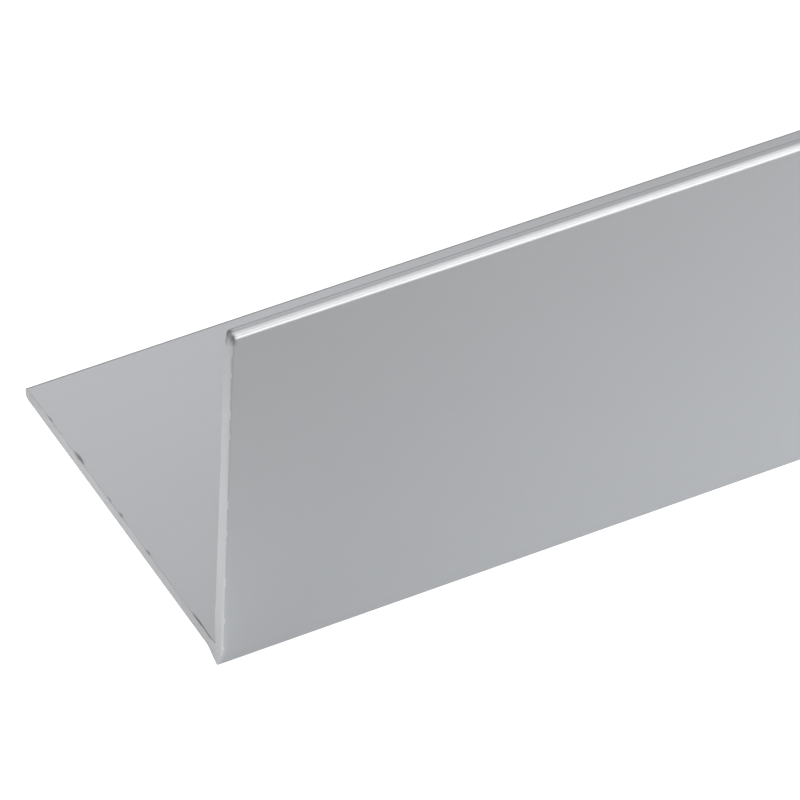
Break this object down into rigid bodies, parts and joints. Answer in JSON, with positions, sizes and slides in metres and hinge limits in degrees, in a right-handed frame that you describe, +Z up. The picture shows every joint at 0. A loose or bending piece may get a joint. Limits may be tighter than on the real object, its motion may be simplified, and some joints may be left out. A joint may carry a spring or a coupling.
{
  "type": "angle profile",
  "caption": "Straight equal-leg aluminium angle profile of L section with thin square legs and rounded toes, sawn square at both ends, used for edging, corners and light frames.",
  "frame": {"origin": "on the floor under the middle of the flat leg, halfway along the bar", "axes": "+X along the bar, +Y from the heel to the toe of the flat leg, +Z up along the upright leg"},
  "size_m": [1, 0.03, 0.03],
  "materials": {
    "satin_aluminium": "satin silver, plain sawn ends"
  },
  "bodies": {
    "root": {"angle_profile": "satin_aluminium"}
  },
  "joints": []
}
